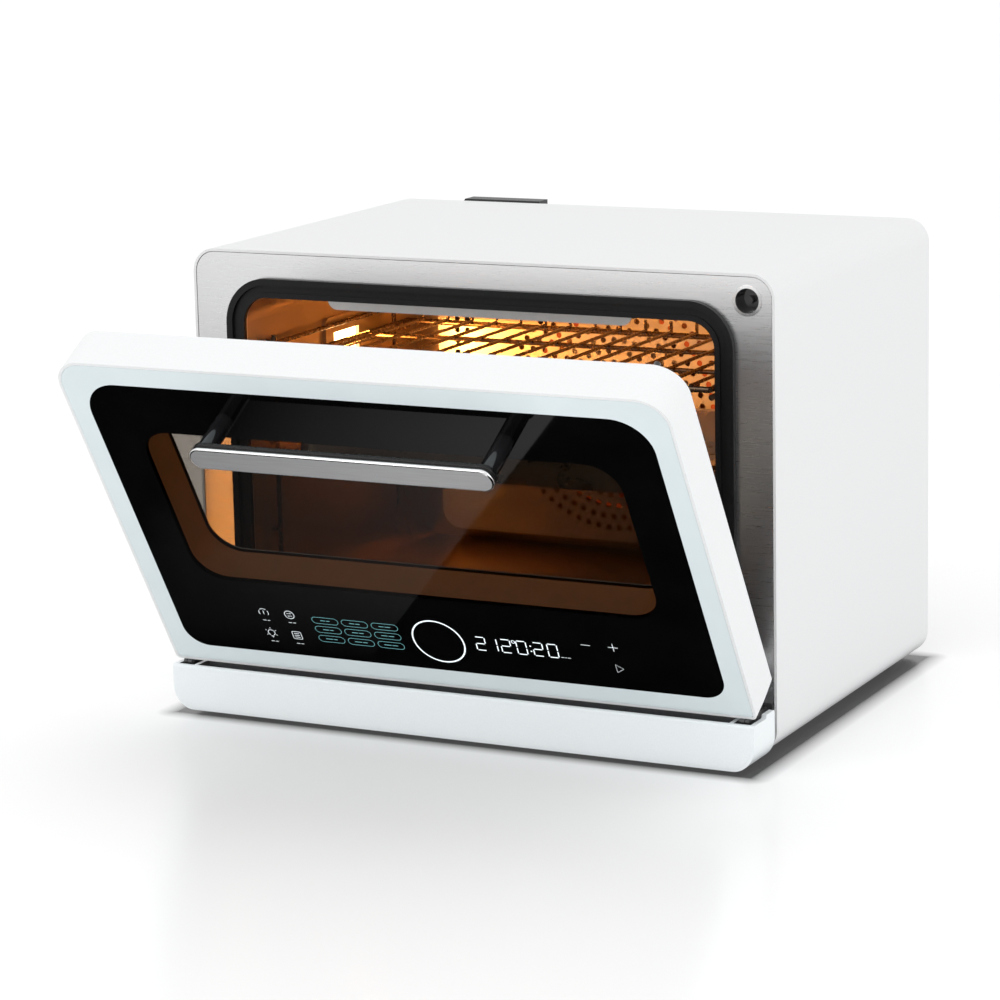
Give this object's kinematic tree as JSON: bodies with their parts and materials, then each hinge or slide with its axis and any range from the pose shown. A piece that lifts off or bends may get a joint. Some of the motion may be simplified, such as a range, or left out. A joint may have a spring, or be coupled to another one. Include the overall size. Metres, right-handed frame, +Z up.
{
  "type": "combi steam oven",
  "caption": "White countertop combi steam oven with a bottom-hinged glass door ajar, lit steel cavity with wire rack and perforated pan, drip tray and rear water tank.",
  "frame": {"origin": "on the floor, under the middle of the whole oven with its door ajar", "axes": "+Z up; -Y is the front, where the door is; +X to the right as seen from the front"},
  "size_m": [0.525, 0.6044, 0.387],
  "materials": {
    "white_enamel": "matte white powder coat",
    "fascia_steel": "brushed along the width",
    "cavity_steel": "satin, lit warm by the oven lamp",
    "seal_grey": "matte silicone",
    "mineral_wool": "loose fibre",
    "heater_black": "heat-darkened steel",
    "rack_chrome": "bright plated wire",
    "motor_grey": "satin",
    "lamp_pane": "clear, glowing",
    "bulb_glow": "glowing",
    "panel_grey": "galvanised grey",
    "duct_black": "matte",
    "foot_rubber": "matte",
    "boiler_aluminium": "as cast",
    "pump_black": "matte",
    "hose_silicone": "translucent",
    "board_green": "laminate",
    "probe_steel": "polished",
    "bezel_steel": "polished ring",
    "switch_black": "satin",
    "hinge_steel": "zinc plated",
    "tray_white": "satin white",
    "tank_clear": "smoky clear",
    "tank_black": "satin black",
    "door_white": "satin white",
    "door_pane": "tinted clear glass",
    "print_white": "printed behind glass",
    "print_black": "printed behind glass",
    "display_black": "display panel",
    "handle_steel": "satin grey metal, bright edge",
    "post_black": "gloss black"
  },
  "bodies": {
    "oven": {"outer_casing": "white_enamel", "front_fascia": "fascia_steel", "cavity_liner": "cavity_steel", "insulation_wrap": "mineral_wool", "door_seal": "seal_grey", "steam_shield": "cavity_steel", "upper_heating_element": "heater_black", "fan_cover": "cavity_steel", "ring_heater": "heater_black", "fan_motor": "motor_grey", "lamp_housing": "cavity_steel", "lamp_glass": "lamp_pane", "lamp_frame": "cavity_steel", "lamp_bulb": "bulb_glow", "rack_supports": "rack_chrome", "rear_panel": "panel_grey", "exhaust_duct": "duct_black", "base_plate": "panel_grey", "feet": "foot_rubber", "steam_generator": "boiler_aluminium", "water_pump": "pump_black", "steam_nozzle": "probe_steel", "water_hoses": "hose_silicone", "power_board": "board_green", "blower_housing": "duct_black", "blower_motor": "motor_grey", "mains_gland": "duct_black", "temperature_probe": "probe_steel", "switch_bezel": "bezel_steel", "switch_body": "switch_black", "hinge_brackets": "hinge_steel", "tray_guides": "pump_black", "tank_holder": "white_enamel", "valve_seat": "pump_black"},
    "door": {"door_frame": "door_white", "door_glass": "door_pane", "white_border": "print_white", "black_border": "print_black", "door_inner_panel": "cavity_steel", "inner_glass": "door_pane", "display_module": "display_black", "touch_board": "board_green", "handle_bar": "handle_steel", "handle_posts": "post_black", "handle_screws": "hinge_steel", "hinge_arms": "hinge_steel", "hinge_pins": "hinge_steel", "switch_striker": "switch_black"},
    "drip_tray": {"drip_tray": "tray_white"},
    "water_tank": {"water_tank": "tank_clear", "tank_lid": "tank_clear", "tank_handle": "tank_black", "tank_valve": "tank_black"},
    "wire_rack": {"wire_rack": "rack_chrome"},
    "perforated_pan": {"perforated_pan": "cavity_steel"},
    "convection_fan": {"convection_fan": "cavity_steel", "fan_shaft": "hinge_steel", "fan_nut": "hinge_steel"},
    "cooling_impeller": {"cooling_impeller": "pump_black"},
    "switch_plunger": {"switch_plunger": "tank_black"}
  },
  "joints": [
    {"name": "door_hinge", "type": "hinge", "parent": "oven", "child": "door", "pos_m": [0, -0.115, 0.0425], "axis": [1, 0, 0], "range_deg": [-31.1, 53.9]},
    {"name": "drip_tray_slide", "type": "slide", "parent": "oven", "child": "drip_tray", "axis": [0, -1, 0], "range_m": [0, 0.085]},
    {"name": "water_tank_lift", "type": "slide", "parent": "oven", "child": "water_tank", "axis": [0, 0, 1], "range_m": [0, 0.27]},
    {"name": "wire_rack_slide", "type": "slide", "parent": "oven", "child": "wire_rack", "axis": [0, -1, 0], "range_m": [0, 0.13]},
    {"name": "perforated_pan_slide", "type": "slide", "parent": "oven", "child": "perforated_pan", "axis": [0, -1, 0], "range_m": [0, 0.1]},
    {"name": "convection_fan_spin", "type": "hinge", "parent": "oven", "child": "convection_fan", "pos_m": [0, 0.21, 0.216], "axis": [0, 1, 0], "continuous": true},
    {"name": "cooling_impeller_spin", "type": "hinge", "parent": "oven", "child": "cooling_impeller", "pos_m": [0.16, 0.25, 0.294], "axis": [0, 1, 0], "continuous": true},
    {"name": "switch_plunger_press", "type": "slide", "parent": "oven", "child": "switch_plunger", "axis": [0, 1, 0], "range_m": [0, 0.002], "stiffness_N_per_m": 200, "springref_m": -0.001}
  ]
}
